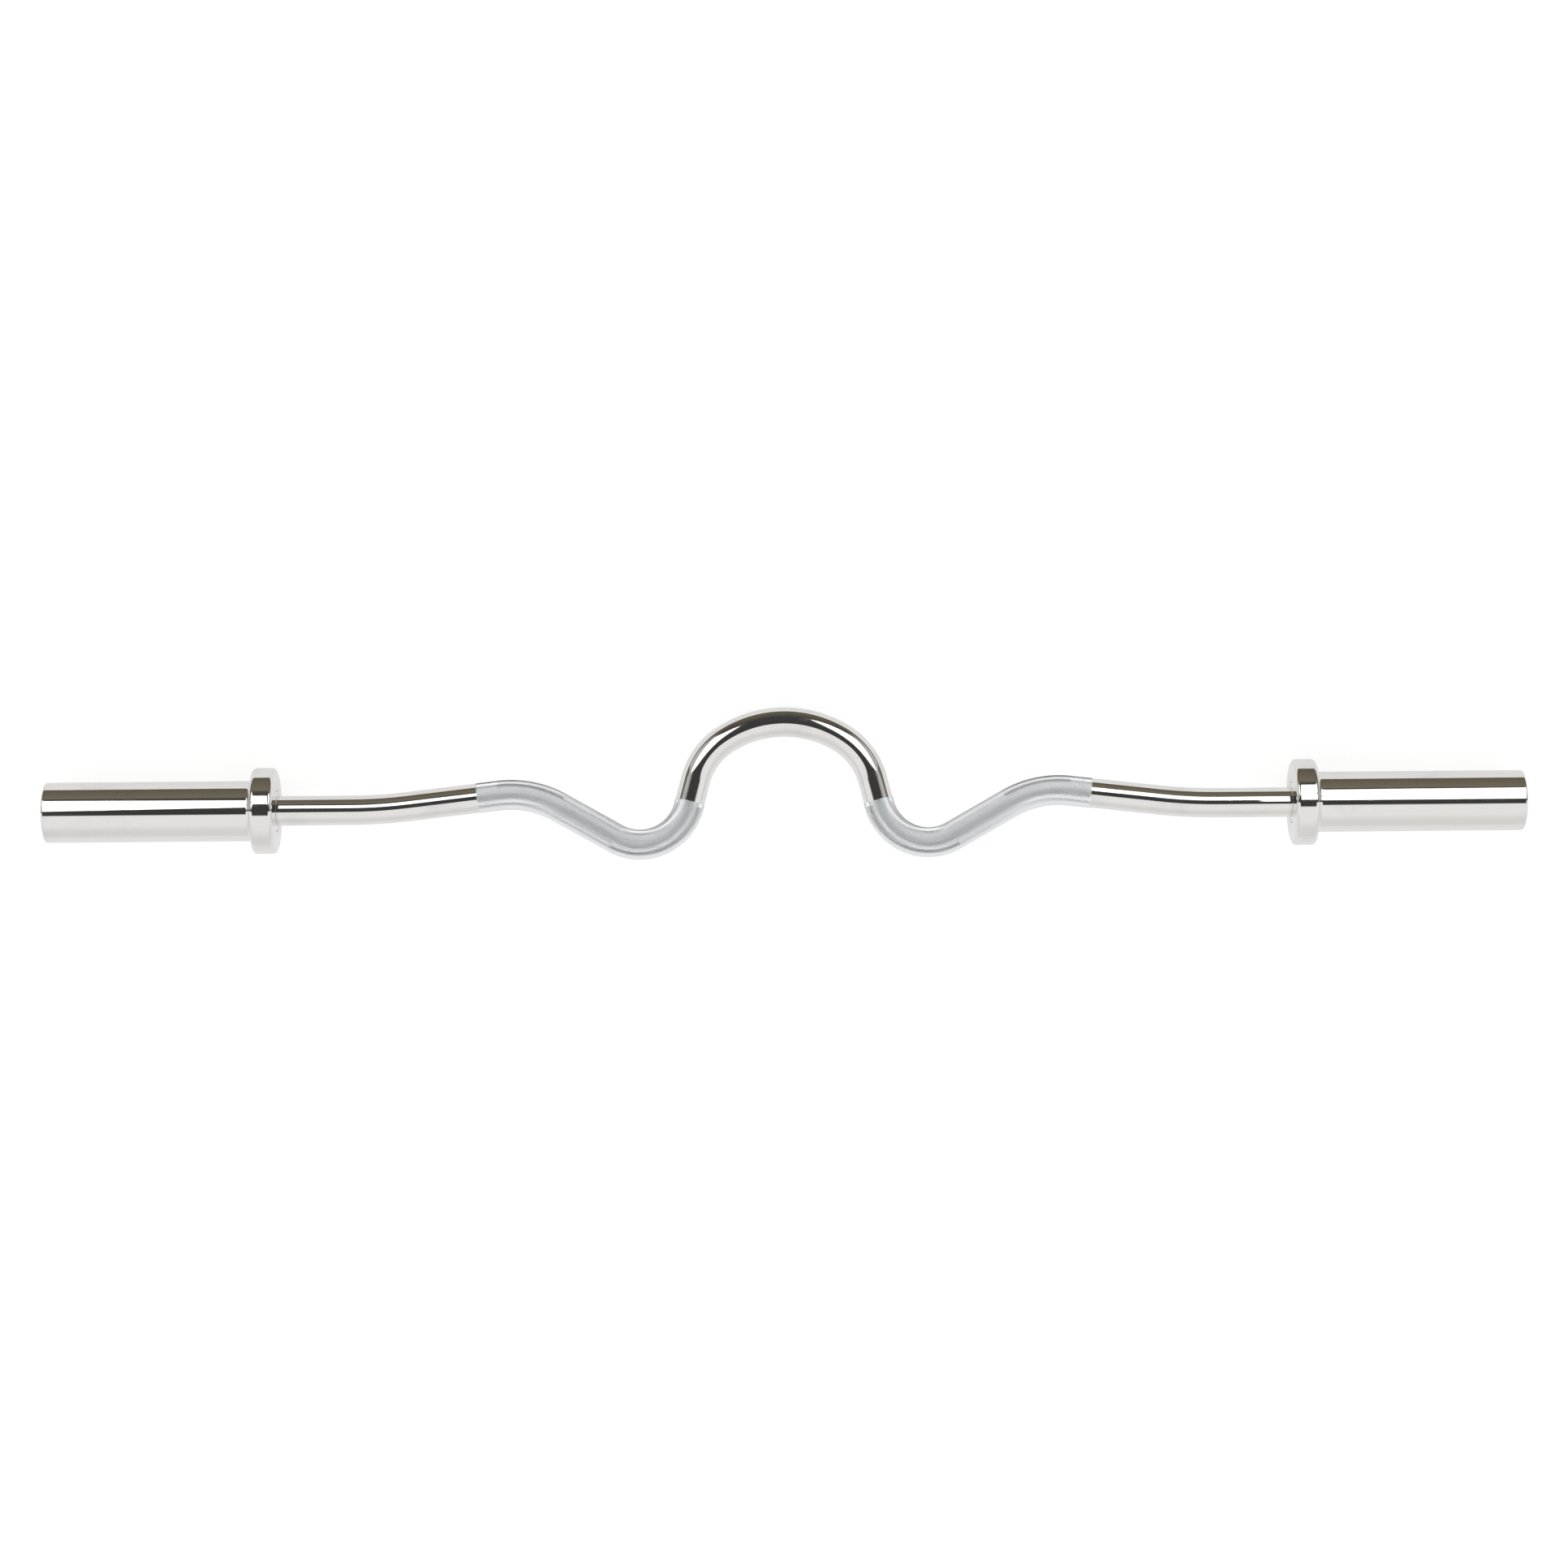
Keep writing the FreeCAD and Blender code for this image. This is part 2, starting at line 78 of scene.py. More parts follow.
# Polishing lines in a metre along X, Y and Z: they are drawn out along the smallest number
BAR_LINES = (300.0, 900.0, 900.0)
SLEEVE_LINES = (25.0, 1600.0, 1600.0)
COLLAR_LINES = (1500.0, 260.0, 260.0)
STOP_RING_LINES = (1500.0, 400.0, 400.0)

# Roughness of clean plate and of dulled plate, and what dulling adds to bare metal
CHROME_ROUGHNESS = (0.045, 0.14)
KNURL_ROUGHNESS = (0.28, 0.34)
METAL_DULLING = 0.06

# Lean of a direction to the bar's ends, from 0 to 1, over which the gap swings and grey walls begin
GAP_SWING_LEAN = (0.24, 0.36)
SIDE_WALL_LEAN = (0.47, 0.68)

# How far the gap swings, and the turn from the camera over which grey walls begin, in radians
GAP_SWING = 0.19
SIDE_WALL_TURN = (0.20, 0.35)

# Bright sheets over the bar, painted highlights that only the plate mirrors: how far off, then their corners along
# the bar and up the picture, in metres
PAINTED_HIGHLIGHT_SHEETS = {
    "left_painted_highlight": (2.5, ((-0.32, 0.72), (-2.80, 1.50), (-2.80, 4.10), (-0.62, 1.95))),
    "right_painted_highlight": (2.5, ((0.25, 0.72), (2.80, 1.50), (2.80, 3.70), (0.50, 2.45))),
    "left_near_painted_highlight": (0.35, ((-0.475, 0.090), (-0.72, 0.012), (-0.72, 0.14), (-0.475, 0.14))),
    "right_near_painted_highlight": (0.35, ((0.43, 0.038), (0.72, 0.038), (0.72, 0.14), (0.43, 0.14))),
}

WHITE = (1.0, 1.0, 1.0, 1.0)
SENSOR_WIDTH = 36.0


def length(name, description, default):
    """A size in metres."""
    return FloatProperty(
        name=name, description=description, default=default, min=0.0, unit="LENGTH", precision=5
    )


def angle(name, description, degrees):
    """An angle, given here in degrees."""
    return FloatProperty(name=name, description=description, default=math.radians(degrees), subtype="ANGLE")


def amount(name, description, default):
    """A share or a brightness."""
    return FloatProperty(name=name, description=description, default=default, min=0.0, subtype="FACTOR")


def colour(name, description, default):
    """A colour, as linear values."""
    return FloatVectorProperty(
        name=name, description=description, default=default, size=3, min=0.0, max=4.0, subtype="COLOR"
    )


def slot_colour(slot):
    """The base colour that the record gives to a material slot."""
    return tuple(next(m["base_color"] for m in frame["record"]["materials"] if m["slot"] == slot))


class BendSizes(bpy.types.PropertyGroup):
    """The bends of the bar's centre line, from the crown of its arch to the straight end in the sleeve."""

    arch_rise: length("Arch rise", "Height of the crown above the sleeves' axis", 0.069)
    crown_radius: length("Crown radius", "Bend over the middle of the arch", 0.089)
    crown_half_angle: angle("Crown half angle", "Turn of the crown on each side of its middle", 32)
    shoulder_radius: length("Shoulder radius", "Bend from the crown to the flank", 0.057)
    flank_angle: angle("Flank angle", "Steepness of the arch's side", 75.5)
    trough_drop: length("Trough drop", "Depth of the trough below the sleeves' axis", 0.030)
    trough_radius: length("Trough radius", "Bend at the bottom of the grip", 0.041)
    ramp_angle: angle("Ramp angle", "Steepness of the grip between trough and crest", 29.5)
    crest_rise: length("Crest rise", "Height of the crest above the sleeves' axis", 0.0115)
    crest_radius: length("Crest radius", "Bend at the top of the grip", 0.080)
    slope_angle: angle("Slope angle", "Fall of the bar from the crest to the sleeves' axis", 6.5)
    end_bend_radius: length("End bend radius", "Last bend, on to the sleeves' axis", 0.400)


class BarSizes(bpy.types.PropertyGroup):
    """The bar's section and its ends inside the sleeves."""

    diameter: length("Diameter", "Bare bar", 0.024)
    end_chamfer: length("End chamfer", "Broken edge at the bar's end", 0.0015)
    groove_depth: length("Groove depth", "Depth of the circlip's groove", 0.00055)
    groove_play: length("Groove play", "Room beside the circlip in its groove", 0.0001)


class KnurlSizes(bpy.types.PropertyGroup):
    """The rolled diamonds of the two grips."""

    on_flank: length("On flank", "Reach of the knurl up the arch's flank", 0.004)
    on_slope: length("On slope", "Reach of the knurl past the crest's bend", 0.018)
    height: length("Height", "Crests of the diamonds above the bare bar", 0.00025)
    depth: length("Depth", "Grooves below the crests", 0.00033)
    around: IntProperty(name="Around", description="Diamonds around the bar", default=72, min=8)
    helix: angle("Helix", "Angle of the grooves to the bar", 22)
    land: amount("Land", "Flat share of a diamond's width", 0.25)


class SleeveSizes(bpy.types.PropertyGroup):
    """Edges, walls and gaps of the sleeve, the collar, the stop ring and the end cap."""

    end_round: length("End round", "Rounded edge at the sleeve's end", 0.0015)
    mouth_chamfer: length("Mouth chamfer", "Broken edge round the end cap", 0.0003)
    spigot_step: length("Spigot step", "Step from the sleeve's wall down to its spigot", 0.0005)
    relief_depth: length("Relief depth", "Relief of the bore between the bushings", 0.0015)
    pocket_gap: length("Pocket gap", "Room round the outer washer", 0.00075)
    turning_gap: length("Turning gap", "Room round the stop ring, seen as a thin ring", 0.0003)
    collar_edge: length("Collar edge", "Rounded rim of the collar", 0.0035)
    collar_root: length("Collar root", "Hollow between the collar and the sleeve's wall", 0.003)
    ring_chamfer: length("Ring chamfer", "Broken edge of the stop ring", 0.0004)
    cap_wall: length("Cap wall", "Thickness of the end cap", 0.0025)
    cap_chamfer: length("Cap chamfer", "Broken edge of the end cap", 0.0008)


class FinishColours(bpy.types.PropertyGroup):
    """Colours of the bar's metals, most of them as the record writes them."""

    chrome: colour("Chrome", "Polished plate", slot_colour("chrome"))
    chrome_haze: colour("Chrome haze", "Plate where handling has dulled it", (0.70, 0.70, 0.69))
    knurl_crest: colour("Knurl crest", "Satin plate on the diamonds", (0.90, 0.92, 0.93))
    # Painted shade: the plate's colour made darker down in the knurl's grooves
    knurl_groove: colour("Knurl groove", "Plate down in the grooves", (0.80, 0.82, 0.83))
    cap_steel: colour("Cap steel", "Faced steel of the end caps", slot_colour("cap_steel"))
    bronze: colour("Bronze", "Bushings and thrust washers", slot_colour("bronze"))
    zinc: colour("Zinc", "Plated backing washers", slot_colour("zinc_steel"))
    spring: colour("Spring steel", "Phosphated circlips", slot_colour("spring_steel"))


class StudioSizes(bpy.types.PropertyGroup):
    """Floor, lights and camera."""

    camera_distance: length("Camera distance", "Camera from the bar", 3.08)
    focal_length: FloatProperty(
        name="Focal length", description="Lens on a 36 mm sensor", default=87.0, subtype="DISTANCE_CAMERA"
    )
    camera_lean: angle("Camera lean", "View from straight above, leaning towards the arch", 14.5)
    camera_roll: angle("Camera roll", "Turn of the picture", 0.5)
    camera_rise: length("Camera rise", "Picture's middle above the sleeves' axis", 0.0183)
    floor_size: length("Floor size", "Side of the square floor", 30.0)
    floor_colour: colour("Floor", "Pale floor", (0.4, 0.4, 0.4))
    floor_glow: amount("Floor glow", "White that the floor shows besides the light that falls on it", 0.75)
    mirror_glow: amount("Mirror glow", "The same, as the bar's plate mirrors it", 0.58)
    # Painted dark reflections: dark sheets behind the bar that shine in their own colour for the plate's mirrors
    # alone
    flag_distance: length("Flag distance", "Dark board behind the bar from the sleeves' axis", 0.133)
    flag_height: length("Flag height", "Dark board above the floor", 0.10)
    middle_flag_height: length("Middle flag height", "The same behind the arch", 0.025)
    flag_gap: length("Flag gap", "Length of the lower board behind the arch", 0.50)
    flag_length: length("Flag length", "Dark board along the bar", 4.0)
    # Painted shadow: the dark sheets are darker at their foot by the floor and lighter at their top edge
    flag_foot_colour: colour("Flag foot", "Dark board at the floor", (0.13, 0.112, 0.083))
    flag_top_colour: colour("Flag top", "Dark board at its top edge", (0.20, 0.176, 0.132))
    backdrop_colour: colour("Backdrop", "What the camera sees beyond the floor", (0.98, 0.98, 0.98))
    wall_colour: colour("Wall", "Pale wall in front of the bar", (0.94, 0.94, 0.94))
    low_wall_colour: colour("Low wall", "Pale wall near the floor", (0.80, 0.80, 0.79))
    side_colour: colour("Sides", "Grey walls beyond the bar's ends", (0.52, 0.52, 0.51))
    gap_colour: colour("Gap", "Dark gap behind the camera", (0.05, 0.05, 0.048))
    ceiling_colour: colour("Ceiling", "Dark warm ceiling beyond the lamps", (0.16, 0.14, 0.105))
    softbox_width: length("Softbox width", "Along the bar", 1.4)
    softbox_height: length("Softbox height", "Across the bar", 1.75)
    softbox_distance: length("Softbox distance", "From the bar", 2.5)
    left_softbox_inner: length("Left inner edge", "Left softbox from the bar's middle", 0.50)
    right_softbox_inner: length("Right inner edge", "Right softbox from the bar's middle", 0.21)
    softbox_angle: angle("Softbox angle", "From the camera towards the arch", 26)
    softbox_level: amount("Softbox level", "Brightness, where 1 is white", 2.2)
    # Painted highlights: brightness of the glowing sheets that only the plate mirrors
    screen_level: amount("Screen level", "Brightness of the screens that the plate mirrors", 1.9)


class CurlBar(bpy.types.PropertyGroup):
    """Everything that can be set on the bar and its studio."""

    bends: PointerProperty(type=BendSizes)
    bar: PointerProperty(type=BarSizes)
    knurl: PointerProperty(type=KnurlSizes)
    sleeve: PointerProperty(type=SleeveSizes)
    finish: PointerProperty(type=FinishColours)
    studio: PointerProperty(type=StudioSizes)


def span(node):
    """A turned node's inner end, outer end and radius, its ends counted outward from the bar's middle."""
    low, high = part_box(node)
    inner, outer = sorted((abs(low.x), abs(high.x)))
    return inner, outer, (high.z - low.z) / 2


class Leg:
    """One straight or bend of the centre line; a positive curvature bends towards the arch."""

    def __init__(self, start, heading, curvature, reach):
        self.start = start
        self.heading = heading
        self.curvature = curvature
        self.reach = reach

    def at(self, run):
        """Point and heading after this run along the leg."""
        if not self.curvature:
            return self.start + run * Vector((math.cos(self.heading), math.sin(self.heading))), self.heading
        heading = self.heading + self.curvature * run
        x = (math.sin(heading) - math.sin(self.heading)) / self.curvature
        y = (math.cos(self.heading) - math.cos(heading)) / self.curvature
        return self.start + Vector((x, y)), heading


class CentreLine:
    """The bent bar's centre line; a run is counted from the crown's middle, and is negative to the left."""

    def __init__(self, bends, bar, end_x):
        lean = math.asin((AXIS.z - bar.diameter / 2) / bends.arch_rise)
        self.up = Vector((0.0, math.cos(lean), -math.sin(lean)))
        self.out = Vector((0.0, math.sin(lean), math.cos(lean)))
        self.legs = []
        self.point = Vector((0.0, bends.arch_rise))
        self.heading = 0.0
        self.draw(bends, end_x)

    def draw(self, bends, end_x):
        flank, ramp, slope = bends.flank_angle, bends.ramp_angle, bends.slope_angle
        self.bend(bends.crown_radius, -bends.crown_half_angle)
        self.bend(bends.shoulder_radius, -flank)
        self.straight_to(bends.trough_radius * (1 - math.cos(flank)) - bends.trough_drop)
        self.flank_end = self.run()
        self.bend(bends.trough_radius, ramp)
        self.straight_to(bends.crest_rise - bends.crest_radius * (1 - math.cos(ramp)))
        self.bend(bends.crest_radius, -slope)
        self.crest_end = self.run()
        self.straight_to(bends.end_bend_radius * (1 - math.cos(slope)))
        self.bend(bends.end_bend_radius, 0.0)
        self.add(0.0, end_x - self.point.x)

    def run(self):
        return sum(leg.reach for leg in self.legs)

    def add(self, curvature, reach):
        leg = Leg(self.point, self.heading, curvature, reach)
        self.legs.append(leg)
        self.point, self.heading = leg.at(reach)

    def bend(self, radius, heading):
        turn = heading - self.heading
        self.add(math.copysign(1 / radius, turn), abs(turn) * radius)

    def straight_to(self, height):
        self.add(0.0, (height - self.point.y) / math.sin(self.heading))

    def at(self, run):
        """Centre of the bar and its normal in the bend plane, in the part's frame."""
        left = abs(run)
        for leg in self.legs:
            if left <= leg.reach or leg is self.legs[-1]:
                break
            left -= leg.reach
        point, heading = leg.at(left)
        if run < 0:
            point, heading = Vector((-point.x, point.y)), -heading
        centre = AXIS + point.x * ALONG + point.y * self.up
        return centre, -math.sin(heading) * ALONG + math.cos(heading) * self.up

    def stops(self, start, end):
        """Runs from start to end where the bar needs a ring: each leg's ends, and steps round its bends."""
        found, begin = [start], 0.0
        for leg in self.legs:
            low, high = max(start, begin), min(end, begin + leg.reach)
            if high > low:
                steps = max(1, math.ceil(abs(leg.curvature) * (high - low) / RING_TURN))
                found += [low + (high - low) * i / steps for i in range(1, steps + 1)]
            begin += leg.reach
        return found


def bar_point(line, run, radius, turn):
    """A point on the bar's skin, turned from the bend plane towards the camera's side."""
    centre, normal = line.at(run)
    return centre + radius * (math.cos(turn) * normal + math.sin(turn) * line.out)


def bar_mesh(name, line, rings):
    """A closed run of bare bar through (run, radius) rings, from left to right."""
    bm = bmesh.new()
    skin = [[bm.verts.new(bar_point(line, run, radius, turn)) for turn in TURNS] for run, radius in rings]
    for left, right in zip(skin, skin[1:]):
        for i in range(SEGMENTS):
            j = (i + 1) % SEGMENTS
            bm.faces.new((left[i], left[j], right[j], right[i]))
    bm.faces.new(reversed(skin[0]))
    bm.faces.new(skin[-1])
    return finished_mesh(name, bm)


def grip_mesh(name, line, start, end, knurl, bar_radius):
    """A closed run of knurled bar: flat-topped diamonds between two crossing sets of spiral grooves."""
    crest = bar_radius + knurl.height
    valley = crest - knurl.depth
    around = 2 * knurl.around
    pitch = 2 * math.pi * crest / knurl.around
    rows = 2 * round((end - start) / (pitch / math.tan(knurl.helix)))
    row_step, turn_step = (end - start) / rows, 2 * math.pi / around
    bm = bmesh.new()
    height = bm.verts.layers.float.new("crest")

    def vertex(column, row, radius, share):
        made = bm.verts.new(bar_point(line, start + row * row_step, radius, column * turn_step))
        made[height] = share
        return made

    crossings = {
        (column, row): vertex(column, row, valley, 0.0)
        for row in range(rows + 1)
        for column in range(row % 2, around, 2)
    }
    ways = ((0, -1), (1, 0), (0, 1), (-1, 0))
    for row in range(1, rows):
        for column in range((row + 1) % 2, around, 2):
            corners = [crossings[(column + dx) % around, row + dy] for dx, dy in ways]
            land = [vertex(column + knurl.land * dx, row + knurl.land * dy, crest, 1.0) for dx, dy in ways]
            bm.faces.new(land)
            for i in range(4):
                j = (i + 1) % 4
                bm.faces.new((corners[i], corners[j], land[j], land[i]))
    for column in range(0, around, 2):
        after = (column + 2) % around
        bm.faces.new((crossings[column, 0], crossings[after, 0], crossings[column + 1, 1]))
        bm.faces.new((crossings[after, rows], crossings[column, rows], crossings[column + 1, rows - 1]))
    bm.faces.new([crossings[column, 0] for column in reversed(range(0, around, 2))])
    bm.faces.new([crossings[column, rows] for column in range(0, around, 2)])
    return finished_mesh(name, bm)


def arc(x, radius, bend, start, end):
    """Points of a rounded edge in a half section, about (x, radius), from start to end in degrees."""
    turns = [math.radians(start + (end - start) * i / ARC_STEPS) for i in range(ARC_STEPS + 1)]
    return [(x + bend * math.cos(t), radius + bend * math.sin(t)) for t in turns]


def turned_mesh(name, side, section):
    """A closed piece turned about the sleeve's axis, from the (x, radius) corners of half its section."""
    bm = bmesh.new()
    ways = [Vector((0.0, math.cos(turn), math.sin(turn))) for turn in TURNS]
    rings = []
    for x, radius in section:
        place = AXIS + SIDES[side] * x * ALONG
        if radius:
            rings.append([bm.verts.new(place + radius * way) for way in ways])
        else:
            rings.append([bm.verts.new(place)] * SEGMENTS)
    for first, second in zip(rings, rings[1:] + rings[:1]):
        for i in range(SEGMENTS):
            j = (i + 1) % SEGMENTS
            corners = list(dict.fromkeys((first[i], first[j], second[j], second[i])))
            if len(corners) > 2:
                bm.faces.new(corners)
    bmesh.ops.recalc_face_normals(bm, faces=bm.faces)
    return finished_mesh(name, bm)


def finished_mesh(name, bm):
    """The mesh, smooth but for its sharp edges."""
    bm.normal_update()
    for face in bm.faces:
        face.smooth = True
    for edge in bm.edges:
        edge.smooth = edge.calc_face_angle(math.pi) < SHARP_ANGLE
    mesh = bpy.data.meshes.new(name)
    bm.to_mesh(mesh)
    bm.free()
    return mesh


def add_piece(mesh, material, body, slot, *nodes):
    """Puts a piece in the scene, riding on its body in place of the nodes that it stands for."""
    if not mesh.polygons:
        raise RuntimeError(f"{mesh.name} has no faces")
    piece = bpy.data.objects.new(mesh.name, mesh)
    bpy.context.scene.collection.objects.link(piece)
    mesh.materials.append(material)
    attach(piece, body)
    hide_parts(*nodes)


def add_node(tree, kind, inputs=None, **settings):
    """A node with its settings, its inputs given as values or as the sockets that feed them."""
    node = tree.nodes.new(kind)
    for name, value in settings.items():
        setattr(node, name, value)
    for name, value in (inputs or {}).items():
        if isinstance(value, bpy.types.NodeSocket):
            tree.links.new(value, node.inputs[name])
        else:
            node.inputs[name].default_value = value
    return node


def maths(tree, operation, first, second=0.0):
    """The result of a Math node."""
    return add_node(tree, "ShaderNodeMath", {0: first, 1: second}, operation=operation).outputs["Value"]


def vector_maths(tree, operation, first, second=(0.0, 0.0, 0.0)):
    """The result of a Vector Math node: a value for a dot product or a length, and else a vector."""
    outputs = add_node(tree, "ShaderNodeVectorMath", {0: first, 1: second}, operation=operation).outputs
    return outputs["Value" if operation in ("DOT_PRODUCT", "LENGTH") else "Vector"]


def spread(tree, value, start, end, low=0.0, high=1.0, curve="LINEAR"):
    """A value from low to high as the given one goes from start to end."""
    ends = {"Value": value, "From Min": start, "From Max": end, "To Min": low, "To Max": high}
    return add_node(tree, "ShaderNodeMapRange", ends, interpolation_type=curve).outputs["Result"]


def new_group(name, inputs, outputs):
    """An empty shader group with float or vector inputs and float outputs."""
    tree = bpy.data.node_groups.new(name, "ShaderNodeTree")
    for socket, value in inputs.items():
        kind = "NodeSocketVector" if isinstance(value, tuple) else "NodeSocketFloat"
        tree.interface.new_socket(socket, in_out="INPUT", socket_type=kind).default_value = value
    for socket in outputs:
        tree.interface.new_socket(socket, in_out="OUTPUT", socket_type="NodeSocketFloat")
    return tree, add_node(tree, "NodeGroupInput"), add_node(tree, "NodeGroupOutput")


def haze_group(name):
    """Soft patches where a finish is dulled by handling."""
    tree, given, made = new_group(name, {"Scale": 20.0, "Low": 0.45, "High": 0.75}, ["Mask"])
    place = add_node(tree, "ShaderNodeTexCoord").outputs["Object"]
    cloud = {"Vector": place, "Scale": given.outputs["Scale"], "Detail": 6.0, "Roughness": 0.62}
    noise = add_node(tree, "ShaderNodeTexNoise", cloud).outputs["Fac"]
    mask = spread(tree, noise, given.outputs["Low"], given.outputs["High"], curve="SMOOTHSTEP")
    tree.links.new(mask, made.inputs["Mask"])
    return tree


def hairline_group(name):
    """Thin polishing lines, drawn out along the direction that has the fewest in a metre."""
    lines = {"Lines per metre": (60.0, 2500.0, 2500.0), "Low": 0.64, "High": 0.72}
    tree, given, made = new_group(name, lines, ["Mask"])
    place = add_node(tree, "ShaderNodeTexCoord").outputs["Object"]
    drawn = vector_maths(tree, "MULTIPLY", place, given.outputs["Lines per metre"])
    grain = {"Vector": drawn, "Scale": 1.0, "Detail": 2.0}
    noise = add_node(tree, "ShaderNodeTexNoise", grain).outputs["Fac"]
    mask = spread(tree, noise, given.outputs["Low"], given.outputs["High"])
    tree.links.new(mask, made.inputs["Mask"])
    return tree


def turning_group(name):
    """Rings that a lathe tool leaves round the sleeve's axis."""
    tree, given, made = new_group(name, {"Rings per metre": 9000.0}, ["Height"])
    place = add_node(tree, "ShaderNodeTexCoord").outputs["Object"]
    from_axis = vector_maths(tree, "SUBTRACT", place, AXIS)
    across = vector_maths(tree, "MULTIPLY", from_axis, (0.0, 1.0, 1.0))
    radius = vector_maths(tree, "LENGTH", across)
    rings = maths(tree, "MULTIPLY", radius, given.outputs["Rings per metre"])
    grain = {"W": rings, "Scale": 1.0, "Detail": 3.0}
    noise = add_node(tree, "ShaderNodeTexNoise", grain, noise_dimensions="1D").outputs["Fac"]
    tree.links.new(noise, made.inputs["Height"])
    return tree


def place_group(tree, name, build, **values):
    """A shared effect, built once, placed in a material with its own values."""
    group = bpy.data.node_groups.get(name) or build(name)
    node = add_node(tree, "ShaderNodeGroup", node_tree=group)
    for socket, value in values.items():
        node.inputs[socket.replace("_", " ")].default_value = value
    return node


def metal(name):
    """A metal material's tree and its shader."""
    material = bpy.data.materials.new(name)
    material.use_nodes = True
    shader = material.node_tree.nodes["Principled BSDF"]
    shader.inputs["Metallic"].default_value = 1.0
    return material, material.node_tree, shader


def blend_colours(tree, mask, first, second):
    """Colour from first to second as the mask rises."""
    ends = {"Factor": mask, "A": (*first, 1.0), "B": (*second, 1.0)}
    return add_node(tree, "ShaderNodeMix", ends, data_type="RGBA").outputs["Result"]


def bump(tree, height, strength, depth):
    """A normal that follows the height, with its strength and its depth in metres."""
    wave = {"Height": height, "Strength": strength, "Distance": depth}
    return add_node(tree, "ShaderNodeBump", wave).outputs["Normal"]


def feed(tree, shader, **sockets):
    """Links each socket to the shader's input of that name."""
    for name, socket in sockets.items():
        tree.links.new(socket, shader.inputs[name.replace("_", " ")])


def chrome_plate(finish, name, lines):
    """Mirror plate with soft haze and polishing lines in one direction."""
    material, tree, shader = metal(name)
    haze = place_group(tree, "Handling haze", haze_group, Scale=26.0, Low=0.48, High=0.80).outputs["Mask"]
    hairs = place_group(tree, "Hairlines", hairline_group, Lines_per_metre=lines).outputs["Mask"]
    worn = maths(tree, "MAXIMUM", haze, hairs)
    clean, dulled = CHROME_ROUGHNESS
    feed(
        tree,
        shader,
        Base_Color=blend_colours(tree, haze, finish.chrome, finish.chrome_haze),
        Roughness=spread(tree, worn, 0.0, 1.0, clean, dulled),
        Normal=bump(tree, hairs, strength=0.05, depth=0.00002),
    )
    return material


def knurl_plate(finish):
    """Satin plate on the diamonds, its colour darkened down in the grooves as painted shade."""
    material, tree, shader = metal("knurl_plate")
    crest = add_node(tree, "ShaderNodeAttribute", attribute_name="crest").outputs["Fac"]
    haze = place_group(tree, "Handling haze", haze_group, Scale=60.0, Low=0.40, High=0.75).outputs["Mask"]
    clean, dulled = KNURL_ROUGHNESS
    feed(
        tree,
        shader,
        # Painted shade: colour from the darker groove tint in the grooves to the crest tint on the diamonds
        Base_Color=blend_colours(tree, crest, finish.knurl_groove, finish.knurl_crest),
        Roughness=spread(tree, haze, 0.0, 1.0, clean, dulled),
        Normal=bump(tree, haze, strength=0.1, depth=0.00003),
    )
    return material


def turned_metal(name, tint, shade, roughness, rings):
    """Bare machined metal: lathe rings in tint and height, duller in soft patches."""
    material, tree, shader = metal(name)
    haze = place_group(tree, "Handling haze", haze_group, Scale=90.0, Low=0.40, High=0.80).outputs["Mask"]
    marks = place_group(tree, "Turning marks", turning_group, Rings_per_metre=rings).outputs["Height"]
    dark = tuple(c * shade for c in tint)
    feed(
        tree,
        shader,
        Base_Color=blend_colours(tree, marks, dark, tint),
        Roughness=spread(tree, haze, 0.0, 1.0, roughness, roughness + METAL_DULLING),
        Normal=bump(tree, marks, strength=0.3, depth=0.0001),
    )
    return material


def bar_line(settings):
    """The bar's centre line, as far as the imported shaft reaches."""
    return CentreLine(settings.bends, settings.bar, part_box("shaft")[1].x)


def end_rings(line, start, settings):
    """Rings of the bar from the knurl out: the bends, the circlip's groove and the chamfered end."""
    radius = settings.bar.diameter / 2
    groove = radius - settings.bar.groove_depth
    end, end_x = line.run(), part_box("shaft")[1].x
    clip_in, clip_out, _ = span("right_circlip")
    groove_in = end - (end_x - clip_in) - settings.bar.groove_play
    groove_out = end - (end_x - clip_out)
    chamfer = settings.bar.end_chamfer
    rings = [(run, radius) for run in line.stops(start, groove_in)]
    rings += [(groove_in, groove), (groove_out, groove), (groove_out, radius)]
    return rings + [(end - chamfer, radius), (end, radius - chamfer)]


class CURLBAR_OT_bar(bpy.types.Operator):
    """Bends the chromed bar and rolls its two knurled grips"""

    bl_idname = "curl_bar.bar"
    bl_label = "Bar and grips"

    def execute(self, context):
        settings = context.scene.curl_bar
        line, radius = bar_line(settings), settings.bar.diameter / 2
        inner = line.flank_end - settings.knurl.on_flank
        outer = line.crest_end + settings.knurl.on_slope
        plate = chrome_plate(settings.finish, "bar_plate", BAR_LINES)
        knurl = knurl_plate(settings.finish)

        half = [(run, radius) for run in line.stops(0.0, inner)]
        arch = [(-run, size) for run, size in reversed(half[1:])] + half
        add_piece(bar_mesh("bar_arch", line, arch), plate, "shaft", "chrome", "shaft")
        for side, sign in SIDES.items():
            rings = end_rings(line, outer, settings)
            if sign < 0:
                rings = [(-run, size) for run, size in reversed(rings)]
            add_piece(bar_mesh(f"{side}_bar_end", line, rings), plate, "shaft", "chrome", "shaft")
            start, end = sorted((sign * inner, sign * outer))
            grip = grip_mesh(f"{side}_grip", line, start, end, settings.knurl, radius)
            add_piece(grip, knurl, "shaft", "chrome", "shaft")
        return {"FINISHED"}


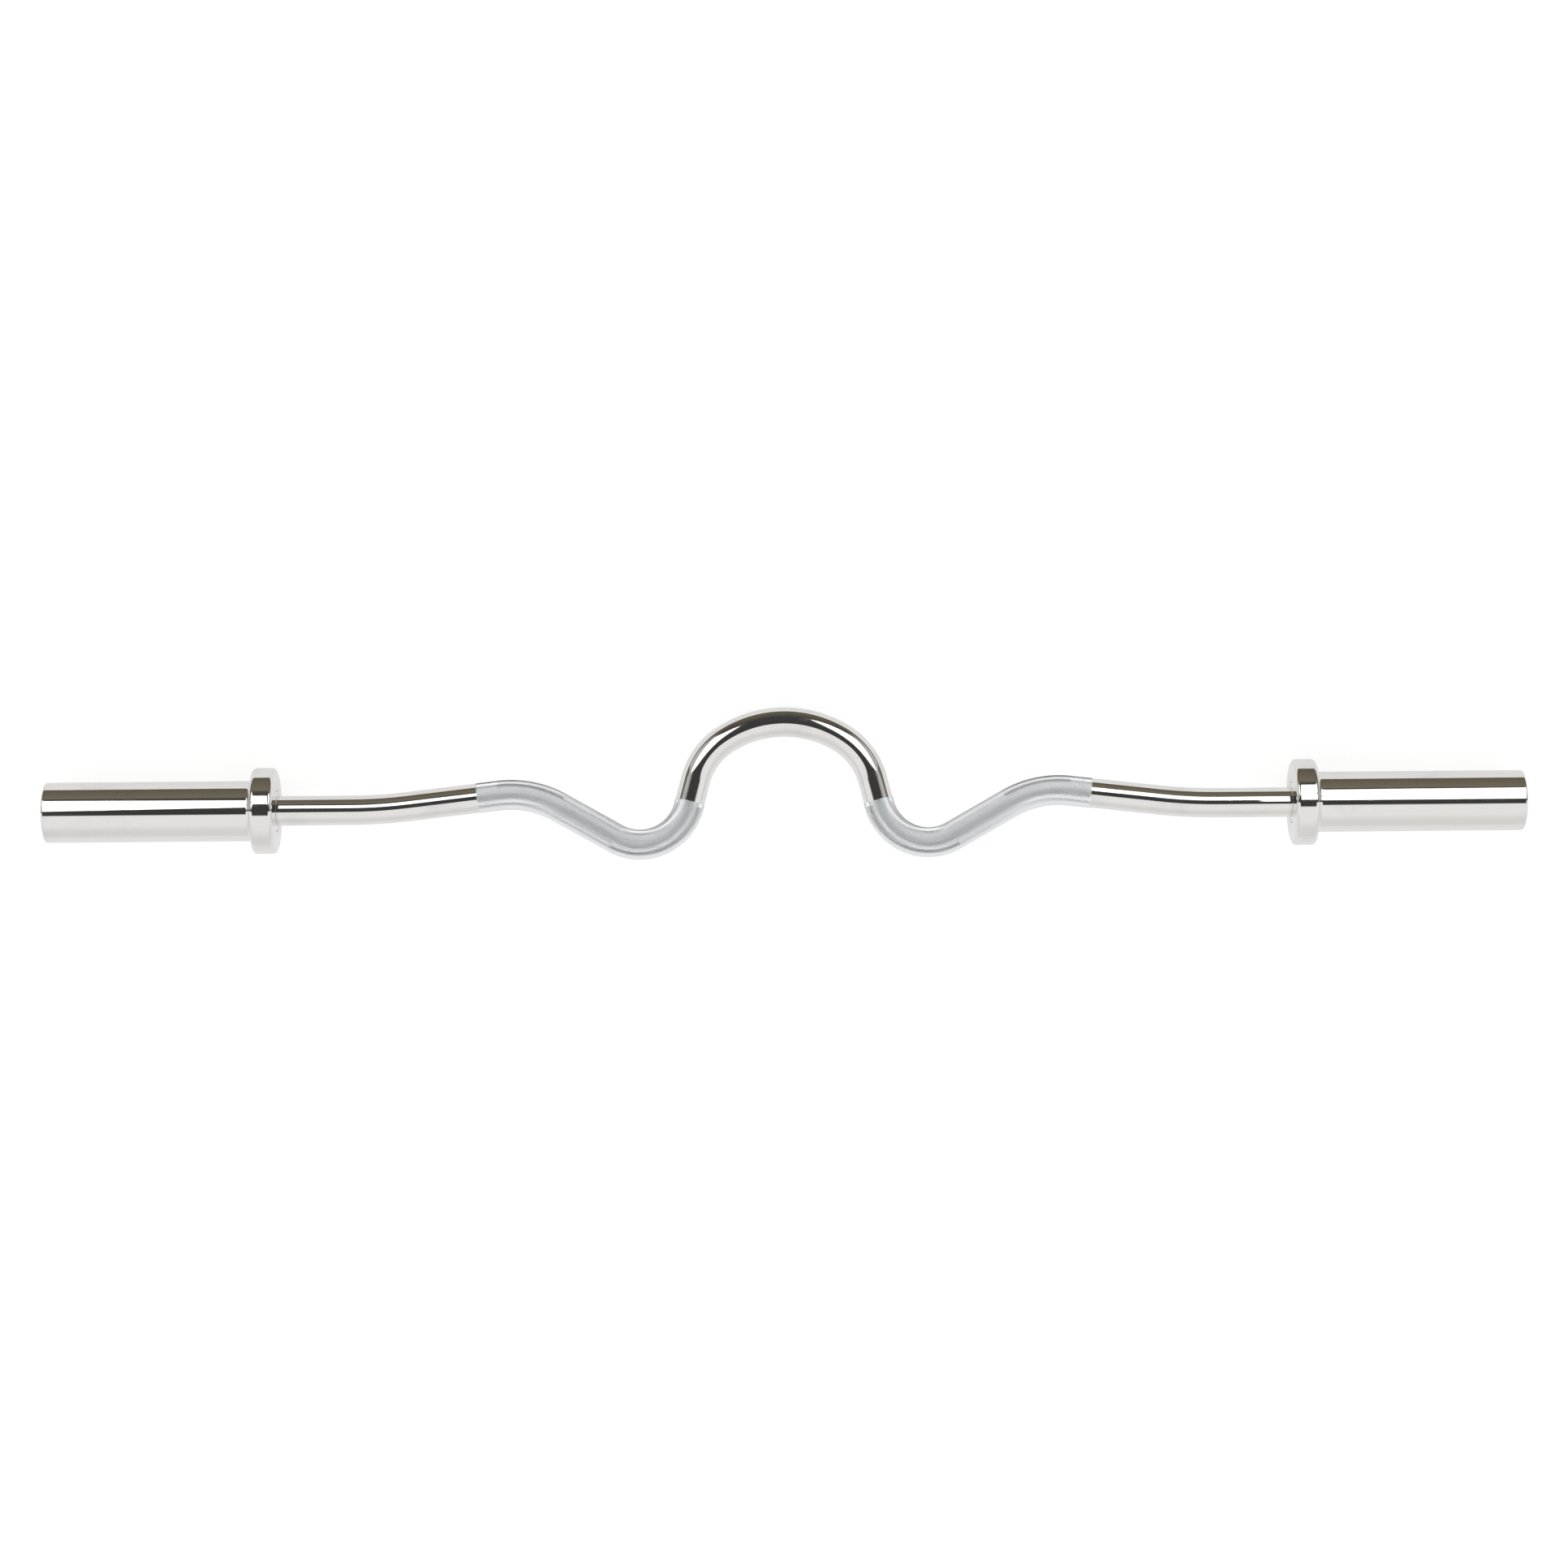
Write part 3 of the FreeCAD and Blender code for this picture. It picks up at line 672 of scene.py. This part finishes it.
def sleeve_section(side, sizes):
    """Half section of the sleeve: mouth, wall, spigot, and the bore with its bushing seats."""
    spigot_in, end, wall = span(f"{side}_sleeve")
    _, root_out, _ = span(f"{side}_collar")
    inner_in, inner_out, seat = span(f"{side}_inner_bushing")
    outer_in, outer_out, _ = span(f"{side}_outer_bushing")
    cap_in, _, cap = span(f"{side}_end_cap")
    stop_bore = span(f"{side}_stop_ring")[2] + sizes.turning_gap
    pocket = span(f"{side}_outer_washer")[2] + sizes.pocket_gap
    relief = seat + sizes.relief_depth
    spigot = wall - sizes.spigot_step
    edge, mouth = sizes.end_round, sizes.mouth_chamfer
    return [
        (spigot_in, stop_bore),
        (inner_in, stop_bore),
        (inner_in, seat),
        (inner_out, seat),
        (inner_out, relief),
        (outer_in, relief),
        (outer_in, seat),
        (outer_out, seat),
        (outer_out, pocket),
        (cap_in, pocket),
        (cap_in, cap),
        (end - mouth, cap),
        (end, cap + mouth),
        (end, wall - edge - EDGE_HOLD),
        *arc(end - edge, wall - edge, edge, 0, 90),
        (end - edge - EDGE_HOLD, wall),
        (root_out, wall),
        (root_out, spigot),
        (spigot_in, spigot),
    ]


def collar_section(side, sizes):
    """Half section of the collar: rounded rim, hollow root, and the socket for the sleeve's spigot."""
    inner, root_out, rim = span(f"{side}_collar")
    spigot_in, _, wall = span(f"{side}_sleeve")
    stop_bore = span(f"{side}_stop_ring")[2] + sizes.turning_gap
    spigot = wall - sizes.spigot_step
    root, edge = sizes.collar_root, sizes.collar_edge
    outer = root_out - root
    return [
        (inner, stop_bore),
        (spigot_in, stop_bore),
        (spigot_in, spigot),
        (root_out, spigot),
        *arc(root_out, wall + root, root, 270, 180),
        (outer, wall + root + EDGE_HOLD),
        (outer, rim - edge - EDGE_HOLD),
        *arc(outer - edge, rim - edge, edge, 0, 90),
        (outer - edge - EDGE_HOLD, rim),
        (inner + edge + EDGE_HOLD, rim),
        *arc(inner + edge, rim - edge, edge, 90, 180),
        (inner, rim - edge - EDGE_HOLD),
    ]


def ring_section(side, settings):
    """Half section of the stop ring on the bar."""
    inner, outer, rim = span(f"{side}_stop_ring")
    bore, chamfer = settings.bar.diameter / 2, settings.sleeve.ring_chamfer
    return [(inner, bore), (outer, bore), (outer, rim), (inner + chamfer, rim), (inner, rim - chamfer)]


def cap_section(side, sizes):
    """Half section of the end cap, a shallow cup that is open towards the bar."""
    inner, outer, rim = span(f"{side}_end_cap")
    wall, chamfer = sizes.cap_wall, sizes.cap_chamfer
    return [
        (outer - wall, 0.0),
        (outer, 0.0),
        (outer, rim - chamfer),
        (outer - chamfer, rim),
        (inner, rim),
        (inner, rim - wall),
        (outer - wall, rim - wall),
    ]


class CURLBAR_OT_sleeves(bpy.types.Operator):
    """Turns the two chromed sleeves that take the plates"""

    bl_idname = "curl_bar.sleeves"
    bl_label = "Sleeves"

    def execute(self, context):
        settings = context.scene.curl_bar
        plate = chrome_plate(settings.finish, "sleeve_plate", SLEEVE_LINES)
        for side in SIDES:
            mesh = turned_mesh(f"{side}_sleeve_tube", side, sleeve_section(side, settings.sleeve))
            add_piece(mesh, plate, f"{side}_sleeve", "chrome", f"{side}_sleeve")
        return {"FINISHED"}


class CURLBAR_OT_collars(bpy.types.Operator):
    """Turns the two chromed collars that stop the plates"""

    bl_idname = "curl_bar.collars"
    bl_label = "Collars"

    def execute(self, context):
        settings = context.scene.curl_bar
        plate = chrome_plate(settings.finish, "collar_plate", COLLAR_LINES)
        for side in SIDES:
            mesh = turned_mesh(f"{side}_collar_ring", side, collar_section(side, settings.sleeve))
            add_piece(mesh, plate, f"{side}_sleeve", "chrome", f"{side}_collar")
        return {"FINISHED"}


class CURLBAR_OT_stop_rings(bpy.types.Operator):
    """Turns the two stop rings on the bar, which show inside the collars"""

    bl_idname = "curl_bar.stop_rings"
    bl_label = "Stop rings"

    def execute(self, context):
        settings = context.scene.curl_bar
        plate = chrome_plate(settings.finish, "stop_ring_plate", STOP_RING_LINES)
        for side in SIDES:
            mesh = turned_mesh(f"{side}_stop_band", side, ring_section(side, settings))
            add_piece(mesh, plate, "shaft", "chrome", f"{side}_stop_ring")
        return {"FINISHED"}


class CURLBAR_OT_end_caps(bpy.types.Operator):
    """Turns the two end caps in the sleeves' mouths"""

    bl_idname = "curl_bar.end_caps"
    bl_label = "End caps"

    def execute(self, context):
        settings = context.scene.curl_bar
        tint = settings.finish.cap_steel
        steel = turned_metal("faced_steel", tint, shade=0.70, roughness=0.28, rings=900.0)
        for side in SIDES:
            mesh = turned_mesh(f"{side}_cap", side, cap_section(side, settings.sleeve))
            add_piece(mesh, steel, f"{side}_sleeve", "cap_steel", f"{side}_end_cap")
        return {"FINISHED"}


class CURLBAR_OT_bearings(bpy.types.Operator):
    """Finishes the bushings, washers and circlips inside the sleeves"""

    bl_idname = "curl_bar.bearings"
    bl_label = "Bearings"

    def execute(self, context):
        finish = context.scene.curl_bar.finish
        bronze = turned_metal("bearing_bronze", finish.bronze, shade=0.72, roughness=0.28, rings=6000.0)
        zinc = turned_metal("zinc_plate", finish.zinc, shade=0.82, roughness=0.34, rings=2500.0)
        spring = turned_metal("phosphated_steel", finish.spring, shade=0.60, roughness=0.50, rings=1500.0)
        finishes = {
            "inner_bushing": bronze,
            "outer_bushing": bronze,
            "inner_washer": bronze,
            "outer_washer": bronze,
            "backing_washer": zinc,
            "circlip": spring,
        }
        for side in SIDES:
            for node, material in finishes.items():
                frame["nodes"][f"{side}_{node}"].data.materials[0] = material
        return {"FINISHED"}


def camera_axes(studio):
    """The camera's right, up and back directions before its roll."""
    lean = studio.camera_lean
    up = Vector((0.0, math.cos(lean), -math.sin(lean)))
    back = Vector((0.0, math.sin(lean), math.cos(lean)))
    return ALONG, up, back


def place_matrix(right, up, back, place):
    """The matrix of a thing at a place, facing away from its back."""
    turn = Matrix((right, up, back)).transposed()
    return Matrix.Translation(place) @ turn.to_4x4()


def add_sheet(name, corners):
    """A flat four-cornered sheet of the stage, with an empty material."""
    mesh = bpy.data.meshes.new(name)
    mesh.from_pydata(corners, [], [(0, 1, 2, 3)])
    sheet = bpy.data.objects.new(name, mesh)
    bpy.context.scene.collection.objects.link(sheet)
    material = bpy.data.materials.new(name)
    material.use_nodes = True
    material.node_tree.nodes.clear()
    mesh.materials.append(material)
    return sheet, material.node_tree


def hide_from_all_but_mirrors(sheet):
    """Leaves a sheet of the stage to the plate's mirrors alone."""
    sheet.visible_camera = False
    sheet.visible_diffuse = False
    sheet.visible_shadow = False


def shine(tree, tint, strength):
    """Lets a sheet shine in its own colour, whatever light falls on it: the painted reflections of the dark sheets
    and the bright sheets.
    """
    light = add_node(tree, "ShaderNodeEmission", {"Color": tint, "Strength": strength})
    add_node(tree, "ShaderNodeOutputMaterial", {"Surface": light.outputs["Emission"]})


def add_floor(studio):
    """A pale floor that glows white for the eye and for mirrors, and keeps the bar's shadow."""
    side = studio.floor_size / 2
    _, tree = add_sheet("floor", [(-side, -side, 0), (side, -side, 0), (side, side, 0), (-side, side, 0)])
    matt = add_node(tree, "ShaderNodeBsdfDiffuse", {"Color": (*studio.floor_colour, 1.0)})
    path = add_node(tree, "ShaderNodeLightPath").outputs
    off_metal_or_glass = maths(tree, "MAXIMUM", path["Is Glossy Ray"], path["Is Transmission Ray"])
    seen = maths(tree, "MULTIPLY", path["Is Camera Ray"], studio.floor_glow)
    mirrored = maths(tree, "MULTIPLY", off_metal_or_glass, studio.mirror_glow)
    both_ways = maths(tree, "ADD", seen, mirrored)
    glow = add_node(tree, "ShaderNodeEmission", {"Color": WHITE, "Strength": both_ways})
    both = add_node(tree, "ShaderNodeAddShader", {0: matt.outputs["BSDF"], 1: glow.outputs["Emission"]})
    add_node(tree, "ShaderNodeOutputMaterial", {"Surface": both.outputs["Shader"]})


def add_dark_reflection(studio, name, start, end, top):
    """A dark sheet behind the bar, from start to end along it, which only the plate's mirrors see: a painted dark
    reflection that shines in its own colour and casts no shadow.
    """
    y = AXIS.y + studio.flag_distance
    dark_sheet, tree = add_sheet(name, [(start, y, 0), (end, y, 0), (end, y, top), (start, y, top)])
    place = add_node(tree, "ShaderNodeTexCoord").outputs["Object"]
    above_floor = add_node(tree, "ShaderNodeSeparateXYZ", {"Vector": place}).outputs["Z"]
    # Painted shadow: the sheet's colour runs from darkest at the floor to lighter at its top
    rise = spread(tree, above_floor, 0.0, studio.flag_height)
    shine(tree, blend_colours(tree, rise, studio.flag_foot_colour, studio.flag_top_colour), 1.0)
    hide_from_all_but_mirrors(dark_sheet)


def add_dark_reflections(studio):
    """Low dark sheets behind the bar, painted dark reflections: a tall one behind each end and a lower one behind
    the arch.
    """
    inner, outer = studio.flag_gap / 2, studio.flag_length / 2
    add_dark_reflection(studio, "left_dark_reflection", -outer, -inner, studio.flag_height)
    add_dark_reflection(studio, "middle_dark_reflection", -inner, inner, studio.middle_flag_height)
    add_dark_reflection(studio, "right_dark_reflection", inner, outer, studio.flag_height)


def wall_bands(studio):
    """The room's colours, each with its turn from the camera towards the arch in degrees."""
    return [
        (-78, studio.low_wall_colour),
        (-52, studio.wall_colour),
        (-13, studio.wall_colour),
        (-11, studio.gap_colour),
        (38, studio.gap_colour),
        (80, studio.ceiling_colour),
    ]


def band_ramp(tree, turn, bands):
    """Colours by the turn from the camera, from bands of degrees and colours."""
    share = spread(tree, turn, -math.pi, math.pi)
    ramp = add_node(tree, "ShaderNodeValToRGB", {"Fac": share})
    elements = ramp.color_ramp.elements
    elements.remove(elements[1])
    elements[0].color = (*bands[0][1], 1.0)
    for degrees, tint in bands:
        elements.new((degrees + 180) / 360).color = (*tint, 1.0)
    return ramp.outputs["Color"]


def room_colour(tree, studio):
    """The room's colour in each direction: bands round the bar, and grey walls high up beyond its ends."""
    _, up, back = camera_axes(studio)
    way = add_node(tree, "ShaderNodeTexCoord").outputs["Generated"]
    rise = vector_maths(tree, "DOT_PRODUCT", way, up)
    face = vector_maths(tree, "DOT_PRODUCT", way, back)
    turn = maths(tree, "ARCTAN2", rise, face)
    lean = maths(tree, "ABSOLUTE", vector_maths(tree, "DOT_PRODUCT", way, ALONG))
    swing = spread(tree, lean, *GAP_SWING_LEAN, high=GAP_SWING)
    bands = band_ramp(tree, maths(tree, "SUBTRACT", turn, swing), wall_bands(studio))
    ends = spread(tree, lean, *SIDE_WALL_LEAN)
    above = spread(tree, turn, *SIDE_WALL_TURN)
    high_ends = maths(tree, "MULTIPLY", ends, above)
    walls = {"Factor": high_ends, "A": bands, "B": (*studio.side_colour, 1.0)}
    return add_node(tree, "ShaderNodeMix", walls, data_type="RGBA").outputs["Result"]


def add_world(studio):
    """The room that the bar's plate mirrors, and the pale backdrop that the eye sees."""
    world = bpy.data.worlds.new("studio")
    bpy.context.scene.world = world
    world.use_nodes = True
    tree = world.node_tree
    tree.nodes.clear()
    room = add_node(tree, "ShaderNodeBackground", {"Color": room_colour(tree, studio)})
    pale = add_node(tree, "ShaderNodeBackground", {"Color": (*studio.backdrop_colour, 1.0)})
    path = add_node(tree, "ShaderNodeLightPath")
    seen = add_node(
        tree,
        "ShaderNodeMixShader",
        {0: path.outputs["Is Camera Ray"], 1: room.outputs["Background"], 2: pale.outputs["Background"]},
    )
    add_node(tree, "ShaderNodeOutputWorld", {"Surface": seen.outputs["Shader"]})


def add_softboxes(studio):
    """A softbox on each side of the camera, which lights the bar and doesn't show in its plate."""
    _, up, back = camera_axes(studio)
    toward = math.cos(studio.softbox_angle) * back + math.sin(studio.softbox_angle) * up
    inner_edges = {"left": studio.left_softbox_inner, "right": studio.right_softbox_inner}
    for side, sign in SIDES.items():
        middle = inner_edges[side] + studio.softbox_width / 2
        lamp = bpy.data.lights.new(f"{side}_softbox", "AREA")
        lamp.shape = "ELLIPSE"
        lamp.size = studio.softbox_width
        lamp.size_y = studio.softbox_height
        area = math.pi / 4 * lamp.size * lamp.size_y
        lamp.energy = studio.softbox_level * math.pi * area
        softbox = bpy.data.objects.new(lamp.name, lamp)
        place = AXIS + studio.softbox_distance * toward + sign * middle * ALONG
        softbox.matrix_world = place_matrix(ALONG, toward.cross(ALONG), toward, place)
        softbox.visible_camera = False
        softbox.visible_glossy = False
        bpy.context.scene.collection.objects.link(softbox)


def add_painted_highlights(studio):
    """Bright sheets over the bar, which only its plate mirrors: painted highlights that glow though they are no
    lamps.
    """
    right, up, back = camera_axes(studio)
    for name, (distance, corners) in PAINTED_HIGHLIGHT_SHEETS.items():
        middle = AXIS + distance * back
        highlight_sheet, tree = add_sheet(name, [middle + x * right + rise * up for x, rise in corners])
        shine(tree, WHITE, studio.screen_level)
        hide_from_all_but_mirrors(highlight_sheet)


def add_camera(studio):
    """The camera over the bar, at the photograph's angle and framing."""
    right, up, back = camera_axes(studio)
    roll = studio.camera_roll
    data = bpy.data.cameras.new("camera")
    data.sensor_width = SENSOR_WIDTH
    data.lens = studio.focal_length
    camera = bpy.data.objects.new("camera", data)
    place = AXIS + studio.camera_rise * up + studio.camera_distance * back
    rolled_right = math.cos(roll) * right - math.sin(roll) * up
    rolled_up = math.cos(roll) * up + math.sin(roll) * right
    camera.matrix_world = place_matrix(rolled_right, rolled_up, back, place)
    bpy.context.scene.collection.objects.link(camera)
    bpy.context.scene.camera = camera


class CURLBAR_OT_stage(bpy.types.Operator):
    """Sets the floor, the studio's light and the camera"""

    bl_idname = "curl_bar.stage"
    bl_label = "Stage"

    def execute(self, context):
        studio = context.scene.curl_bar.studio
        add_floor(studio)
        add_dark_reflections(studio)
        add_world(studio)
        add_softboxes(studio)
        add_painted_highlights(studio)
        add_camera(studio)
        context.scene.view_settings.view_transform = "Standard"
        return {"FINISHED"}


OPERATORS = (
    CURLBAR_OT_bar,
    CURLBAR_OT_sleeves,
    CURLBAR_OT_collars,
    CURLBAR_OT_stop_rings,
    CURLBAR_OT_end_caps,
    CURLBAR_OT_bearings,
    CURLBAR_OT_stage,
)


class CURLBAR_PT_sidebar(bpy.types.Panel):
    """Sizes and colours of the curl bar, and the steps that build it"""

    bl_idname = "CURLBAR_PT_sidebar"
    bl_label = "Curl bar"
    bl_space_type = "VIEW_3D"
    bl_region_type = "UI"
    bl_category = "Curl bar"

    def draw(self, context):
        settings = context.scene.curl_bar
        for name in CurlBar.__annotations__:
            box = self.layout.box()
            box.label(text=name.capitalize())
            group = getattr(settings, name)
            for value in group.__annotations__:
                box.prop(group, value)
        for operator in OPERATORS:
            self.layout.operator(operator.bl_idname)


CLASSES = (
    BendSizes,
    BarSizes,
    KnurlSizes,
    SleeveSizes,
    FinishColours,
    StudioSizes,
    CurlBar,
    *OPERATORS,
    CURLBAR_PT_sidebar,
)


def register():
    for made in CLASSES:
        bpy.utils.register_class(made)
    bpy.types.Scene.curl_bar = PointerProperty(type=CurlBar)


def unregister():
    del bpy.types.Scene.curl_bar
    for made in reversed(CLASSES):
        bpy.utils.unregister_class(made)


def main():
    register()
    bpy.ops.curl_bar.bar()
    bpy.ops.curl_bar.sleeves()
    bpy.ops.curl_bar.collars()
    bpy.ops.curl_bar.stop_rings()
    bpy.ops.curl_bar.end_caps()
    bpy.ops.curl_bar.bearings()
    bpy.ops.curl_bar.stage()


if __name__ == "__main__":
    main()
